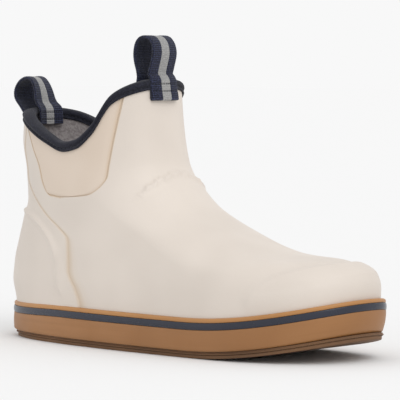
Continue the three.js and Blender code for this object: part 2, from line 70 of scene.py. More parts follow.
SOLE_LENGTH = 302.0
FRONT_HEIGHT, BACK_HEIGHT, DIP_HEIGHT = 178.5, 158.0, 135.8
TOE_SPRING, SPRING_START = 15.0, 40.0
OUTSOLE_TOP = 4.2
LUG_DEPTH, LUG_PITCH, GROOVE_WIDTH = 2.5, 12.0, 3.0
TREAD_INSET, TREAD_MARGIN = 1.2, 4.0
OUTSOLE_INSET = 1.5
WALL = (4.5, 18.4)               # heights of the foxing's bands
STRIPE = (18.6, 22.9)
STRIP = (23.1, 26.0)
BAND_DIP = 1.6                   # how far the bands' upper edges come down round the heel
SEAT_HEIGHT, FOXING_TOP = 10.0, 26.2
FOXING_THICKNESS, TOE_BUMPER, TOE_TUCK = 2.4, 2.3, 3.0
UPPER_THICKNESS = 6.3            # rubber, neoprene and lining, with the gaps between them
LINING_OUTER, LINING_THICKNESS = 5.4, 0.9
LINING_FOOT, LINING_QUILT = 0.055, 0.12          # v at its foot, and the height of its soft waves
NEOPRENE = (2.7, 5.1)            # depths of its faces
STIFFENER_DEPTHS = (1.4, 2.4)
FOOTBED, COVER = (12.3, 17.3), (17.6, 18.6)
WEBBING_WIDTH, WEBBING_THICKNESS = 24.0, 1.6
CLEARANCE = 0.3
V_FOXING = 0.1
DEGREE = math.pi / 180

# v, toe x, toe rise, heel x, heel rise, widest x, half width, toe fullness, heel fullness,
# hollow of the inner waist, swing of the toe to the inner side
SECTIONS = [
    [0.00, 144.5, -16.2, -147.6, -16.2, 62, 49.5, 2.35, 2.8, 11, 9],
    [V_FOXING, 145.5, 0, -149.4, 0, 62, 49.8, 2.35, 2.8, 11, 9],
    [0.20, 142.5, 15.6, -152.6, 14, 52, 49, 2.3, 2.8, 9, 9],
    [0.28, 122, 28.4, -152, 27, 40, 47.5, 2.2, 2.7, 7, 9],
    [0.36, 84, 37.2, -148.5, 41, 20, 46, 2.1, 2.6, 4.5, 7],
    [0.46, 52.3, 48.6, -144, 56, -5, 44, 2.1, 2.5, 2.5, 4],
    [0.57, 11.9, 67.8, -139.4, 72, -38, 42, 2.15, 2.4, 1, 1.5],
    [0.70, -13.6, 97.8, -138.9, 90, -66, 40, 2.4, 2.4, 0, 0],
    [0.85, -18.6, 126.8, -142.4, 111, -78, 38.5, 2.6, 2.4, 0, 0],
    [1.00, -21.6, 152.3, -140.2, 131.8, -82, 38, 2.8, 2.4, 0, 0],
]
SAMPLE_HEEL = -149.4
COLLAR_LINE = [
    [0, 1], [0.1, 0.86], [0.22, 0.58], [0.36, 0.25], [0.5, 0],
    [0.6, 0.045], [0.72, 0.276], [0.85, 0.766], [1, 1],
]


def cubic_through(knots, rows):
    """A cubic through rising knots that never overshoots them."""
    knots, rows = np.array(knots, float), np.array(rows, float)
    step = np.diff(knots)[:, None]
    slope = np.diff(rows, axis=0) / step
    tangent = np.zeros_like(rows)
    tangent[0], tangent[-1] = slope[0], slope[-1]
    before, after = slope[:-1], slope[1:]
    w1, w2 = 2 * step[1:] + step[:-1], step[1:] + 2 * step[:-1]
    same = before * after > 0
    safe = np.where(same, before, 1), np.where(same, after, 1)
    tangent[1:-1] = np.where(same, (w1 + w2) / (w1 / safe[0] + w2 / safe[1]), 0)

    def at(x):
        x = np.asarray(x, float)
        i = np.clip(np.searchsorted(knots, x, side="right") - 1, 0, len(knots) - 2)
        h = step[i, 0]
        t = ((x - knots[i]) / h)[..., None]
        lean = h[..., None] * (tangent[i] * t * (1 - t) ** 2 - tangent[i + 1] * t * t * (1 - t))
        return rows[i] + (rows[i + 1] - rows[i]) * t * t * (3 - 2 * t) + lean

    return at


section_at = cubic_through([r[0] for r in SECTIONS], [r[1:] for r in SECTIONS])
collar_at = cubic_through([r[0] for r in COLLAR_LINE], [[r[1]] for r in COLLAR_LINE])


def line_through(points):
    """y of a smooth line through [x, y] points."""
    curve = cubic_through([p[0] for p in points], [[p[1]] for p in points])
    return lambda x: curve(np.clip(x, points[0][0], points[-1][0]))[..., 0]


def ease(t):
    t = np.clip(t, 0, 1)
    return t * t * (3 - 2 * t)


def spring_at(x):
    return TOE_SPRING * np.maximum(0, (x - SPRING_START) / (SOLE_LENGTH / 2 - SPRING_START)) ** 2


def surface(v, angle):
    """Points on the boot's outer surface, in the sole's frame."""
    v, angle = np.broadcast_arrays(np.asarray(v, float), np.asarray(angle, float))
    toe_x, toe_rise, heel_x, heel_rise, wide_x, half, toe_full, heel_full, hollow, swing = np.moveaxis(
        section_at(v), -1, 0
    )
    c, s = np.cos(angle), np.sin(angle)
    full = np.where(c >= 0, toe_full, heel_full)
    reach = np.where(c >= 0, toe_x - wide_x, wide_x - heel_x) * np.abs(c) ** (2 / full)
    across = np.abs(s) ** (2 / full)
    x = wide_x + np.sign(c) * reach
    y = np.where(s >= 0, -1, 1) * half * across
    y = y - (s < 0) * hollow * np.exp(-(((x + 30) / 48) ** 2)) * np.minimum(across * 1.5, 1)
    y = y + swing * np.clip((x - wide_x) / (150 - wide_x), 0, 1) ** 1.5
    t = np.clip((x - heel_x) / (toe_x - heel_x), 0, 1)
    shaft = np.clip((v - 0.4) / 0.6, 0, 1)
    end = np.where(t < 0.5, BACK_HEIGHT, FRONT_HEIGHT)
    height = DIP_HEIGHT + (end - DIP_HEIGHT) * collar_at(t)[..., 0]
    dip = (height - (BACK_HEIGHT + (FRONT_HEIGHT - BACK_HEIGHT) * t)) * shaft**2 * (1.5 - 0.5 * shaft)
    x = x - SAMPLE_HEEL + FOXING_THICKNESS - SOLE_LENGTH / 2
    z = FOXING_TOP + heel_rise + (toe_rise - heel_rise) * t + dip + spring_at(x)
    return np.stack([x, y, z], -1)


def unit(a):
    return a / np.maximum(np.linalg.norm(a, axis=-1, keepdims=True), 1e-9)


def normal(v, angle):
    """Outward normal, level at the seat line and the collar."""
    v, angle = np.broadcast_arrays(np.asarray(v, float), np.asarray(angle, float))
    up = surface(np.minimum(1, v + 0.004), angle) - surface(np.maximum(0, v - 0.004), angle)
    around = surface(v, angle + 0.01) - surface(v, angle - 0.01)
    n = unit(np.cross(up, around))
    n[..., 2] *= np.clip(v / 0.1, 0, 1) * np.clip((1 - v) / 0.1, 0, 1)
    return unit(n)


def layer(v, angle, depth):
    depth = np.broadcast_to(np.asarray(depth, float), np.broadcast(v, angle).shape)
    return surface(v, angle) - normal(v, angle) * depth[..., None]


def below_collar(angle, drop):
    """v at a given drop below the collar's edge."""
    top = surface(1.0, angle)[..., 2]
    span = 0.05 + 0 * angle
    for _ in range(5):
        span = span * drop / (top - surface(1 - span, angle)[..., 2])
    return 1 - span


def foxing_point(angle, inset=0.0):
    """The foxing's outer face in plan, thicker round the toe."""
    toe = np.maximum(0, np.cos(angle)) ** 2
    level = normal(V_FOXING, angle)
    level[..., 2] = 0
    out = FOXING_THICKNESS + TOE_BUMPER * toe - inset
    return surface(V_FOXING, angle) + unit(level) * out[..., None]


# ---------- From the sole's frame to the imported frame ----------

FRAME_STEPS = 36
wall_low, wall_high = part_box("foxing_wall")
wall_outline = foxing_point(np.arange(FRAME_STEPS) * 2 * np.pi / FRAME_STEPS)
SHIFT = np.array([
    (wall_low.x + wall_high.x) / 2 / MM,
    (wall_low.y + wall_high.y) / 2 / MM - (wall_outline[:, 1].max() + wall_outline[:, 1].min()) / 2,
    0.0,
])


def to_frame(points):
    return (np.asarray(points) + SHIFT) * MM


# ---------- Mesh builders ----------

def grid_faces(rows, cols, wrap_rows=False, wrap_cols=False, start=0):
    r = np.arange(rows if wrap_rows else rows - 1)[:, None]
    c = np.arange(cols if wrap_cols else cols - 1)[None, :]
    at = lambda i, j: start + (i % rows) * cols + (j % cols)
    quads = [at(r, c), at(r, c + 1), at(r + 1, c + 1), at(r + 1, c)]
    return np.stack([q + 0 * (r + c) for q in quads], -1).reshape(-1, 4)


def signed_volume(points, faces):
    a, b, c, d = (points[faces[:, i]] for i in range(4))
    return (np.einsum("ij,ij->i", a, np.cross(b, c)) + np.einsum("ij,ij->i", a, np.cross(c, d))).sum()


def piece(name, points, faces, looks, uv=None, kinds=None, marks=None):
    """A mesh object from quads, in millimetres in the sole's frame. kinds gives each face's material."""
    points = np.asarray(points, float).reshape(-1, 3)
    faces = np.asarray(faces)
    if signed_volume(points - points.mean(0), faces) < 0:
        faces = faces[:, ::-1]
    mesh = bpy.data.meshes.new(name)
    mesh.vertices.add(len(points))
    mesh.vertices.foreach_set("co", to_frame(points).astype(np.float32).ravel())
    mesh.loops.add(faces.size)
    mesh.loops.foreach_set("vertex_index", faces.astype(np.int32).ravel())
    mesh.polygons.add(len(faces))
    mesh.polygons.foreach_set("loop_start", np.arange(0, faces.size, 4, dtype=np.int32))
    mesh.polygons.foreach_set("use_smooth", np.ones(len(faces), bool))
    if kinds is not None:
        mesh.polygons.foreach_set("material_index", np.asarray(kinds, np.int32))
    if uv is not None:
        layer_uv = mesh.uv_layers.new(name="UVMap")
        corners = np.asarray(uv, float)[faces.ravel()] * MM
        layer_uv.data.foreach_set("uv", corners.astype(np.float32).ravel())
    for key, values in (marks or {}).items():
        attribute = mesh.attributes.new(key, "FLOAT", "POINT")
        attribute.data.foreach_set("value", np.asarray(values, np.float32).ravel())
    mesh.update(calc_edges=True)
    mesh.validate()
    made = bpy.data.objects.new(name, mesh)
    bpy.context.scene.collection.objects.link(made)
    for look in looks:
        mesh.materials.append(look)
    return made


def lengths_along(points, axis):
    """Distance travelled along one axis of a grid of points, from its start."""
    steps = np.linalg.norm(np.diff(points, axis=axis), axis=-1)
    pad = [(0, 0), (0, 0)]
    pad[axis] = (1, 0)
    return np.cumsum(np.pad(steps, pad), axis=axis)


def slab(name, outer, inner, looks, marks=None, wrap=False):
    """A closed sheet between two grids of points. With wrap, the columns go all the way round."""
    rows, cols = outer.shape[:2]
    count = rows * cols
    front = grid_faces(rows, cols, wrap_cols=wrap)
    back = grid_faces(rows, cols, wrap_cols=wrap, start=count)[:, ::-1]
    index = np.arange(count).reshape(rows, cols)
    if wrap:
        borders = [np.append(index[0], index[0, 0])[::-1], np.append(index[-1], index[-1, 0])]
    else:
        border = [index[0, :-1], index[:-1, -1], index[-1, :0:-1], index[:0:-1, 0], index[0, :1]]
        borders = [np.concatenate(border)[::-1]]
    rims = [np.stack([b[:-1], b[1:], b[1:] + count, b[:-1] + count], -1) for b in borders]
    points = np.concatenate([outer.reshape(-1, 3), inner.reshape(-1, 3)])
    uv = np.stack([lengths_along(outer, 1), lengths_along(outer, 0)], -1).reshape(-1, 2)
    marks = {k: np.concatenate([m.ravel(), np.zeros(count)]) for k, m in (marks or {}).items()}
    faces = np.concatenate([front, back, *rims])
    return piece(name, points, faces, looks, np.concatenate([uv, uv]), marks=marks)


def ring(name, sections, looks):
    """A closed profile carried right round the boot. sections is (steps, profile points, 3)."""
    steps, count = sections.shape[:2]
    faces = grid_faces(steps, count, wrap_rows=True, wrap_cols=True)
    uv = np.stack([lengths_along(sections, 0), lengths_along(sections, 1)], -1).reshape(-1, 2)
    return piece(name, sections, faces, looks, uv)


def capsules(name, centres, along, out, length, thickness, looks):
    """Short rounded stitches, one for each centre."""
    turns = np.arange(8) * np.pi / 4
    ends = np.array([-0.5, -0.44, -0.3, 0, 0.3, 0.44, 0.5])
    radius = np.array([0.15, 0.7, 0.95, 1, 0.95, 0.7, 0.15]) * thickness / 2
    side = unit(np.cross(along, out))
    sag = -0.35 * thickness * (np.abs(ends) * 2) ** 3
    spine = centres[:, None] + along[:, None] * (ends * length)[:, None] + out[:, None] * sag[:, None]
    points = (
        spine[:, :, None]
        + side[:, None, None] * (radius[:, None] * np.cos(turns))[None, :, :, None]
        + out[:, None, None] * (radius[:, None] * np.sin(turns))[None, :, :, None]
    )
    one = grid_faces(len(ends), len(turns), wrap_cols=True)
    last = (len(ends) - 1) * len(turns)
    caps = np.array([[3, 2, 1, 0], [7, 4, 3, 0], [7, 6, 5, 4]])
    one = np.concatenate([one, caps, caps[:, ::-1] + last])
    size = len(ends) * len(turns)
    faces = (one[None] + (np.arange(len(centres)) * size)[:, None, None]).reshape(-1, 4)
    return piece(name, points, faces, looks)


def belongs(made, body, slot, *nodes):
    """Attaches a piece to the body it rides on and hides the CAD nodes it stands for. slot is not used."""
    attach(made, body)
    if nodes:
        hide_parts(*nodes)


# ---------- Materials ----------

RIB_PITCH, WARP_PITCH = 1.25, 1.6        # the webbing's ribs, along it and across it


def colour(*levels):
    """A linear colour from red, green and blue display levels of 0 to 255."""
    linear = [((c / 255 + 0.055) / 1.055) ** 2.4 if c > 10.3 else c / 255 / 12.92 for c in levels]
    return (*linear, 1.0)


class Look:
    """A material built from nodes around one Principled shader."""

    def __init__(self, name, roughness, specular):
        self.material = bpy.data.materials.new(name)
        self.material.use_nodes = True
        self.tree = self.material.node_tree
        self.shader = self.tree.nodes["Principled BSDF"]
        self.shader.inputs["Specular IOR Level"].default_value = specular
        self.shader.inputs["Roughness"].default_value = roughness
        self.coords = self.add("ShaderNodeTexCoord")
        self.normal = None           # from the last bump

    def add(self, kind, inputs=(), **settings):
        node = self.tree.nodes.new(kind)
        for key, value in settings.items():
            setattr(node, key, value)
        for key, value in dict(inputs).items():
            if isinstance(value, bpy.types.NodeSocket):
                self.tree.links.new(value, node.inputs[key])
            else:
                node.inputs[key].default_value = value
        return node

    def where(self, source, stretch=(1, 1, 1)):
        inputs = {"Vector": self.coords.outputs[source], "Scale": stretch}
        return self.add("ShaderNodeMapping", inputs).outputs[0]

    def noise(self, scale, source="Object", stretch=(1, 1, 1), detail=3.0, rough=0.55):
        inputs = {"Vector": self.where(source, stretch), "Scale": scale, "Detail": detail, "Roughness": rough}
        return self.add("ShaderNodeTexNoise", inputs).outputs["Fac"]

    def wave(self, pitch, direction):
        """Bands that repeat every pitch millimetres along the cloth, brightest at 0."""
        scale = 2 * math.pi / (20 * pitch * MM)
        inputs = {"Vector": self.where("UV"), "Scale": scale, "Phase Offset": math.pi}
        node = self.add("ShaderNodeTexWave", inputs, wave_type="BANDS", bands_direction=direction)
        return node.outputs["Fac"]

    def ramp(self, value, low, high, to_low=0.0, to_high=1.0):
        inputs = {0: value, 1: low, 2: high, 3: to_low, 4: to_high}
        return self.add("ShaderNodeMapRange", inputs).outputs[0]

    def math(self, operation, a, b):
        return self.add("ShaderNodeMath", {0: a, 1: b}, operation=operation).outputs[0]

    def mix(self, share, a, b):
        node = self.add("ShaderNodeMix", data_type="RGBA")
        for socket, value in ((node.inputs[0], share), (node.inputs[6], a), (node.inputs[7], b)):
            if isinstance(value, bpy.types.NodeSocket):
                self.tree.links.new(value, socket)
            else:
                socket.default_value = value
        return node.outputs[2]

    def mark(self, name):
        return self.add("ShaderNodeAttribute", attribute_name=name).outputs["Fac"]

    def paint(self, socket):
        self.tree.links.new(socket, self.shader.inputs["Base Color"])

    def rough(self, socket):
        self.tree.links.new(socket, self.shader.inputs["Roughness"])

    def bump(self, height, distance, strength=1.0):
        inputs = {"Height": height, "Distance": distance * MM, "Strength": strength}
        if self.normal is not None:
            inputs["Normal"] = self.normal
        self.normal = self.add("ShaderNodeBump", inputs).outputs[0]
        self.tree.links.new(self.normal, self.shader.inputs["Normal"])


def rubber_look(name, light, dark, roughness, seam_tint_and_shade=None, grain=0.03, streaks=None):
    """Moulded rubber, foam or board: broad patches, speckle, and a seam tint with painted shade where the
    mesh is marked.
    """
    look = Look(name, roughness, 0.45)
    patches = look.ramp(look.noise(14.0, detail=2.0), 0.35, 0.65)
    base = look.mix(patches, light, dark)
    speckle = look.ramp(look.noise(1500.0, detail=1.0), 0.62, 0.75)
    base = look.mix(look.math("MULTIPLY", speckle, 0.18), base, dark)
    if streaks:
        drag = look.noise(90.0, "UV", streaks, detail=4.0)
        base = look.mix(look.ramp(drag, 0.4, 0.7, 0.0, 0.6), base, dark)
    # Where the mesh is marked, the colour goes towards a darker tan: partly the seams' own colour, partly
    # painted shade.
    if seam_tint_and_shade:
        base = look.mix(look.mark("seam_tint_and_shade"), base, seam_tint_and_shade)
    look.paint(base)
    look.rough(look.ramp(look.noise(60.0, detail=4.0), 0.3, 0.7, roughness - 0.06, roughness + 0.07))
    look.bump(look.noise(900.0, detail=2.0), grain)
    look.bump(look.noise(55.0, detail=3.0), 0.12, 0.6)
    return look.material


def cloth_look(name, light, dark, ribs=(), fuzz=900.0, relief=0.1, sheen=0.25):
    """Fibres, and ribs given as (pitch, direction, depth, how much painted shade darkens the grooves between
    them).
    """
    look = Look(name, 0.9, 0.25)
    fibres = look.noise(fuzz, "UV", detail=4.0, rough=0.7)
    base = look.mix(look.ramp(fibres, 0.4, 0.62), dark, light)
    for pitch, direction, depth, shade in ribs:
        rows = look.wave(pitch, direction)
        # Painted shade: the grooves between the ribs go towards the dark colour.
        base = look.mix(look.ramp(rows, 0.0, 0.7, shade, 0.0), base, dark)
        look.bump(rows, depth)
    look.paint(base)
    look.bump(fibres, relief)
    look.shader.inputs["Sheen Weight"].default_value = sheen
    look.shader.inputs["Sheen Roughness"].default_value = 0.5
    return look.material


# A darker tan for seams and the gore's lips: partly the seams' own colour, partly painted shade.
SEAM_TINT_AND_SHADE = colour(196, 170, 136)
RUBBER = rubber_look("upper_rubber", colour(218, 208, 198), colour(211, 201, 191), 0.5, SEAM_TINT_AND_SHADE)
GORE = rubber_look("stretch_panel", colour(217, 202, 187), colour(211, 195, 179), 0.62, SEAM_TINT_AND_SHADE, grain=0.05)
GUM = rubber_look("gum_rubber", colour(162, 114, 69), colour(148, 102, 59), 0.46, streaks=(0.12, 5, 1))
STRIP_RUBBER = rubber_look(
    "gum_strip_rubber", colour(185, 133, 79), colour(172, 121, 69), 0.42, streaks=(0.1, 4, 1),
)
OUTSOLE = rubber_look("outsole_rubber", colour(120, 86, 56), colour(102, 72, 46), 0.6)
STRIPE_RUBBER = rubber_look("stripe_rubber", colour(43, 46, 60), colour(35, 38, 51), 0.24)
# Each rib row: pitch, direction, depth, and the painted shade in the grooves between the ribs.
TAPE_RIBS = [(0.9, "X", 0.08, 0.5)]
NAVY_RIBS = [(RIB_PITCH, "X", 0.12, 0.75), (WARP_PITCH, "Y", 0.05, 0.35)]
GREY_RIBS = [(RIB_PITCH, "X", 0.06, 0.35)]
BINDING = cloth_look(
    "binding_tape", colour(44, 45, 58), colour(24, 25, 34), TAPE_RIBS, fuzz=700.0, sheen=0.1,
)
LINING = cloth_look(
    "lining_fabric", colour(178, 171, 170), colour(140, 133, 133), fuzz=420.0, relief=0.25, sheen=0.1,
)
NAVY = cloth_look(
    "webbing_navy", colour(64, 70, 102), colour(9, 10, 20), NAVY_RIBS, fuzz=1200.0, sheen=0.15,
)
GREY = cloth_look(
    "webbing_grey", colour(172, 171, 169), colour(128, 128, 128), GREY_RIBS, fuzz=1200.0, sheen=0.15,
)
THREAD = cloth_look("thread", colour(38, 40, 54), colour(16, 18, 27), fuzz=1600.0, relief=0.06)
FOAM = rubber_look("foam", colour(74, 78, 90), colour(58, 61, 70), 0.9, grain=0.3)
BOARD = rubber_look("insole_board", colour(192, 176, 146), colour(170, 154, 126), 0.85, grain=0.15)
STIFFENER = rubber_look("stiffener", colour(214, 203, 187), colour(196, 185, 168), 0.8, grain=0.1)

# The CAD pieces that no finer piece replaces.
CAD_LOOKS = {"midsole": FOAM, "insole_board": BOARD}
for node, material in CAD_LOOKS.items():
    data = frame["nodes"][node].data
    data.materials.clear()
    data.materials.append(material)

# ---------- Lines on the upper ----------

back_seam = line_through([
    [0, 116], [0.11, 116], [0.18, 116], [0.26, 118], [0.34, 117], [0.4, 116], [0.45, 119], [0.51, 126],
    [0.6, 136], [0.66, 141], [0.76, 139], [0.89, 132], [1, 129],
])
GORE_FOOT = 0.609
gore_front = line_through([
    [0, 50], [0.3, 58], [0.5, 84], [GORE_FOOT, 107], [0.63, 91], [0.654, 76], [0.678, 66], [0.719, 61],
    [0.822, 52], [0.931, 44], [1, 39],
])
gore_rear = line_through([
    [0, 80], [0.3, 86], [0.5, 104], [GORE_FOOT, 116], [0.633, 117], [0.764, 115], [0.878, 120], [1, 133],
])
instep_line = line_through([[0, 0.667], [11, 0.656], [22, 0.647], [35, 0.631], [48, 0.611], [75, 0.58]])
GORE_RECESS = 0.9
SEAM_STEP = 0.5
COUNTER_SPREAD, COUNTER_TOP, COUNTER_SQUARENESS = 58.5 * DEGREE, 0.5, 5.0
COUNTER_SIZE = 60.0              # how far the counter reaches round from the heel
INSTEP_SCALE = 250.0             # millimetres up the instep for one unit of v
CAP_SPREAD, CAP_TOP = 75 * DEGREE, 0.262
# Millimetres proud: each part's ridge along its edge, then the step up onto the part.
COUNTER_RIDGE, COUNTER_RISE = 1.5, 0.6
INSTEP_RIDGE, INSTEP_RISE, INSTEP_ECHO = 1.8, 0.9, 0.25
CAP_RISE, UNEVENNESS = 1.9, 0.18


def ripple(angle, *waves):
    """A sum of waves round the boot, each (how many, phase, size)."""
    return sum(size * np.sin(count * angle + phase) for count, phase, size in waves)


def relief(v, angle):
    """How far the rubber stands proud of the plain surface over the parts under it."""
    side = np.abs((angle + np.pi) % (2 * np.pi) - np.pi)
    round_heel = (np.pi - side) / COUNTER_SPREAD
    counter = round_heel**COUNTER_SQUARENESS + (v / COUNTER_TOP) ** COUNTER_SQUARENESS
    inside = (1 - counter ** (1 / COUNTER_SQUARENESS)) * COUNTER_SIZE
    proud = COUNTER_RIDGE * np.exp(-((inside / 1.3) ** 2)) * ease((v - 0.1) / 0.1)
    proud = proud + COUNTER_RISE * ease(inside / 3 + 0.5)
    above = (v - instep_line(side / DEGREE)) * INSTEP_SCALE
    above = above + ripple(side, (26, 0.4, 0.4), (61, 1.9, 0.2))
    fade = ease((62 - side / DEGREE) / 30)
    crinkle = 1 + 0.22 * ripple(side, (83, 0.3, 0.6), (37, 2.2, 0.7))
    ridge = INSTEP_RIDGE * np.exp(-((above / 1.7) ** 2)) * crinkle
    proud += fade * (ridge + INSTEP_RISE * ease(0.5 - above / 4))
    echo = np.exp(-(((above + 7) / 2.2) ** 2))
    proud += fade * INSTEP_ECHO * echo * ease((45 - side / DEGREE) / 25) * crinkle
    cap = ((side / CAP_SPREAD) ** 4 + (v / CAP_TOP) ** 4) ** 0.25
    proud += CAP_RISE * ease((1.02 - cap) * 14) * ease((v - 0.1) / 0.08)
    uneven = UNEVENNESS * ripple(side, (5, 0.7, 0.6), (9, 2.0, 0.4))
    proud += uneven * ease((v - 0.3) / 0.2) * ease((0.95 - v) / 0.2)
    return proud


# ---------- Upper ----------

UPPER_FOOT = 0.02                # v where the rubber starts
RIM_DROP = 1.6                   # how far the layers stop below the collar's edge


def upper_rows(count, extra=()):
    return np.unique(np.concatenate([np.linspace(UPPER_FOOT, 1, count), extra]))


def to_rim(rows, angle):
    """v for each row and angle, with the top rows eased down to RIM_DROP below the collar's edge."""
    rim = below_collar(angle, RIM_DROP)
    return rows - (1 - rim) * ease((rows - 0.8) / 0.2)


def side_angle(t, v):
    """Angle on one side. t is 0 at the toe, 1 and 2 at the gore's front and rear lines, 3 at the seam."""
    knots = np.stack([0 * v, gore_front(v), gore_rear(v), back_seam(v), back_seam(v) + 12], -1) * DEGREE
    t = np.minimum(t, 3.999)
    i = np.floor(t).astype(int)
    low = np.take_along_axis(knots, i[..., None], -1)[..., 0]
    high = np.take_along_axis(knots, i[..., None] + 1, -1)[..., 0]
    return low + (high - low) * (t - i)


def step_columns():
    """Values of t for the vamp's columns on one side, close together at the gore's two lips."""
    front = np.linspace(0, 1, 100)[:-1]
    lip = np.array([-0.012, -0.008, -0.004, 0, 0.008, 0.018, 0.03])
    gore = np.linspace(1, 2, 34)[1:-1]
    behind = 2 + 0.05 * (1 - np.arange(3) / 3)
    back = np.linspace(2, 3, 18)[1:]
    under = [3.1, 3.2]
    return np.unique(np.concatenate([front, 1 + lip, gore, 2 - lip, behind, back, under]))


RUBBER_DEPTH, LET_IN = 2.4, 1.15         # the rubber's inner face, and how much less over a stiffener
# Each stiffener: name, node, rows from and to, middle angle, how far it spreads to each side.
STIFFENERS = [
    ("toe_puff_layer", "toe_puff", 0.05, 0.29, 0.0, 60 * DEGREE),
    ("heel_counter_layer", "heel_counter", 0.05, 0.52, math.pi, 50 * DEGREE),
    ("instep_layer", "vamp_reinforcement", 0.42, 0.62, 0.0, 60 * DEGREE),
]


def rubber_inner(v, angle):
    """Depth of the rubber's inner face, which is let in over the stiffeners."""
    depth = RUBBER_DEPTH + 0 * v
    for _, _, low, high, middle, spread in STIFFENERS:
        side = np.abs((angle - middle + np.pi) % (2 * np.pi) - np.pi)
        past = np.minimum(np.minimum(v - low, high - v) / 0.008, (spread - side) / (2 * DEGREE))
        depth = depth - LET_IN * ease(past + 2)
    return depth


def stiffener(name, node, low, high, middle, spread):
    v = np.linspace(low, high, 60)[:, None] + np.zeros(110)
    angle = middle + np.linspace(-spread, spread, 110)[None, :] + 0 * v
    outer, inner = (layer(v, angle, depth) for depth in STIFFENER_DEPTHS)
    belongs(slab(name, outer, inner, [STIFFENER]), "boot", "stiffener", node)


def rubber_vamp():
    rows = upper_rows(190, extra=GORE_FOOT + np.array([-0.004, -0.002, 0, 0.002, 0.004, 0.006]))
    half = step_columns()
    columns = np.concatenate([-half[:0:-1], half])
    t = np.abs(columns)[None, :] + 0 * rows[:, None]
    v = rows[:, None] + 0 * t
    angle = side_angle(t, v) * np.where(columns < 0, -1, 1)
    v = to_rim(v, angle)
    in_gore = ease((t - 1 + 0.004) / 0.016) * ease((2 - t + 0.004) / 0.016)
    in_gore = in_gore * ease((v - GORE_FOOT + 0.002) / 0.005)
    front_lip = np.exp(-(((t - 1) / 0.012) ** 2)) * (v > GORE_FOOT)
    rear_lip = np.exp(-(((t - 2) / 0.03) ** 2)) * (v > GORE_FOOT)
    foot = np.exp(-(((v - GORE_FOOT) / 0.0035) ** 2)) * (t > 1) * (t < 2)
    under = ease((t - 2.995) / 0.03)
    depth = in_gore * GORE_RECESS - relief(v, angle) * (1 - in_gore) + under * 0.7
    seam = np.exp(-(((t - 3) / 0.045) ** 2))
    # Seam tint and painted shade along the gore's lips, the gore's foot and the back seam.
    seam_tint_and_shade = np.clip(0.75 * (front_lip + rear_lip + foot) + 0.55 * seam, 0, 0.85)
    outer = layer(v, angle, depth)
    inner = layer(v, angle, rubber_inner(v, angle))
    made = slab("vamp_shell", outer, inner, [RUBBER], {"seam_tint_and_shade": seam_tint_and_shade})
    belongs(made, "boot", "upper_rubber", "rubber_vamp")


def back_quarter():
    rows = upper_rows(180)
    u = np.concatenate([[0, 0.004, 0.009, 0.016, 0.026], np.linspace(0.04, 0.5, 70)])
    u = np.concatenate([u, 1 - u[-2::-1]])
    v = rows[:, None] + 0 * u
    seam = back_seam(v) * DEGREE
    angle = seam + (2 * np.pi - 2 * seam) * u
    v = to_rim(v, angle)
    edge = np.minimum(u, 1 - u)[None, :] + 0 * v
    lift = SEAM_STEP * ease(edge / 0.012) * (1 - 0.5 * ease((edge - 0.02) / 0.1)) - 0.25 * (edge < 0.002)
    outer = layer(v, angle, -lift - relief(v, angle))
    inner = layer(v, angle, rubber_inner(v, angle) * ease(edge / 0.03) + 0.45 * (1 - ease(edge / 0.03)))
    # Seam tint and painted shade along the back seam's edges.
    seam_tint_and_shade = 0.55 * np.exp(-((edge / 0.006) ** 2))
    made = slab("back_quarter_shell", outer, inner, [RUBBER], {"seam_tint_and_shade": seam_tint_and_shade})
    belongs(made, "boot", "upper_rubber", "back_quarter")


def gore(name, side, node):
    """A side panel, let in to the vamp's recess. side is 1 for the outer one, -1 for the inner one."""
    rows = np.linspace(GORE_FOOT + 0.003, 1, 90)
    u = np.linspace(0, 1, 60)
    t = 1.014 + u * (2 - 2 * 0.014)
    t = t[None, :] - 0 * rows[:, None]
    v = rows[:, None] + 0 * t
    angle = side_angle(np.minimum(t, 1.986), v) * side
    v = to_rim(v, angle)
    in_from_edge = np.minimum(np.minimum(u, 1 - u)[None, :] * 40, (v - GORE_FOOT) * 180)
    depth = 0.75 - 0.6 * ease(in_from_edge / 3)
    # Seam tint and painted shade round the panel's edges, where it meets the vamp's lips.
    seam_tint_and_shade = 0.5 * np.exp(-((in_from_edge / 0.7) ** 2))
    outer, inner = layer(v, angle, depth), layer(v, angle, GORE_RECESS + 0 * depth)
    made = slab(name, outer, inner, [GORE], {"seam_tint_and_shade": seam_tint_and_shade})
    belongs(made, "boot", "stretch_panel", node)


def sock(name, look, slot, node, outer_depth, inner_depth, foot=0.0, quilt=0.0):
    """A layer that lines the whole upper, from its foot up to the binding."""
    angle = np.arange(260) * 2 * np.pi / 260
    rows = foot + (1 - foot) * np.linspace(0, 1, 120)[:, None] + 0 * angle
    angle = angle[None, :] + 0 * rows
    v = to_rim(rows, angle)
    waves = quilt * np.sin(v * 90) * np.sin(angle * 30)
    outer, inner = layer(v, angle, outer_depth), layer(v, angle, inner_depth + waves)
    made = slab(name, outer, inner, [look], wrap=True)
    belongs(made, "boot", slot, node)
    return made


rubber_vamp()
back_quarter()
gore("lateral_gore_panel", 1, "lateral_gore")
gore("medial_gore_panel", -1, "medial_gore")
for each in STIFFENERS:
    stiffener(*each)
sock("neoprene_layer", FOAM, "foam", "neoprene_bootie", *NEOPRENE)
sock(
    "lining_sock", LINING, "lining_fabric", "lining",
    LINING_OUTER, LINING_OUTER + LINING_THICKNESS, LINING_FOOT, LINING_QUILT,
)

# ---------- Foxing ----------

FOXING_STEPS = 540
FOXING_ANGLES = np.arange(FOXING_STEPS) * 2 * np.pi / FOXING_STEPS


def band_height(z, x):
    """A band's height with the sole's spring, and lower round the heel."""
    return z + spring_at(x) - BAND_DIP * ease((-x - 70) / 70) * np.clip((z - 6) / 12, 0, 1)


